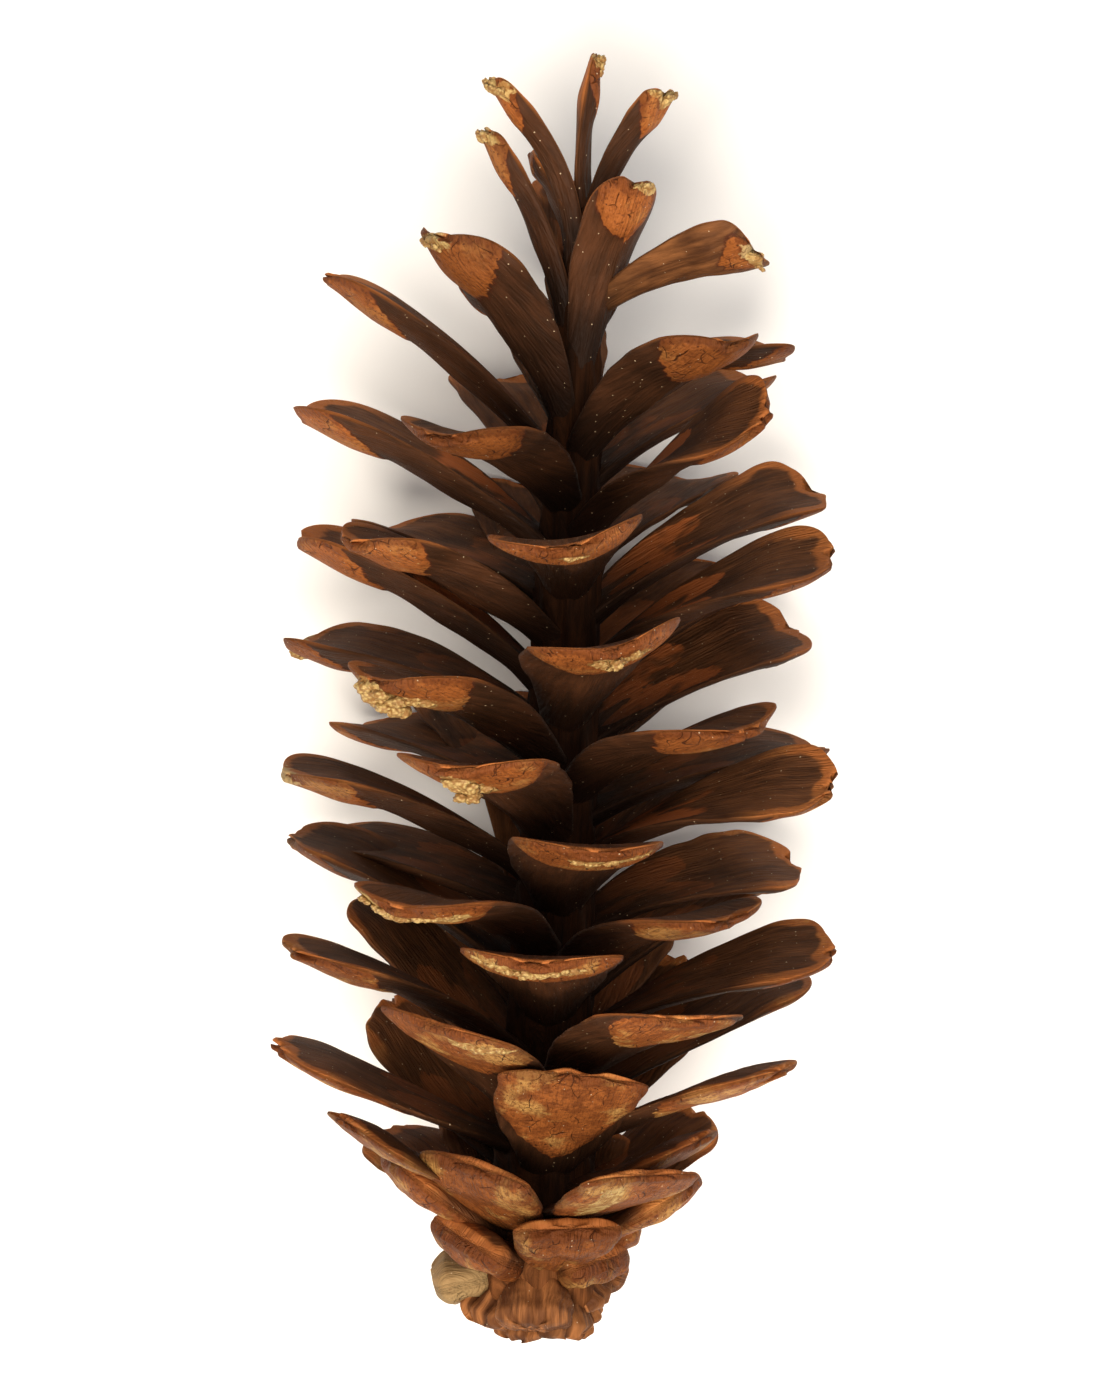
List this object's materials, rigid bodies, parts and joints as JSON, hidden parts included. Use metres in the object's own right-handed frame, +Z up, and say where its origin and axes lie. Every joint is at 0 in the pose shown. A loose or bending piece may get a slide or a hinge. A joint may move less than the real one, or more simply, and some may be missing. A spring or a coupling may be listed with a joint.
{
  "type": "eastern white pine cone",
  "caption": "Long slender open pine cone lying on its side, with thin spoon-shaped woody scales standing out in spirals round a straight axis.",
  "frame": {"origin": "middle of the cone's footprint, on the surface that it lies on", "axes": "+Y along the cone from the stalk's scar to the apex, +Z up, +X to the right of someone who looks down with the apex away from them"},
  "size_m": [0.057, 0.1321, 0.0564],
  "materials": {
    "cone_wood": "dry matt"
  },
  "bodies": {
    "root": {"cone": "cone_wood"}
  },
  "joints": []
}
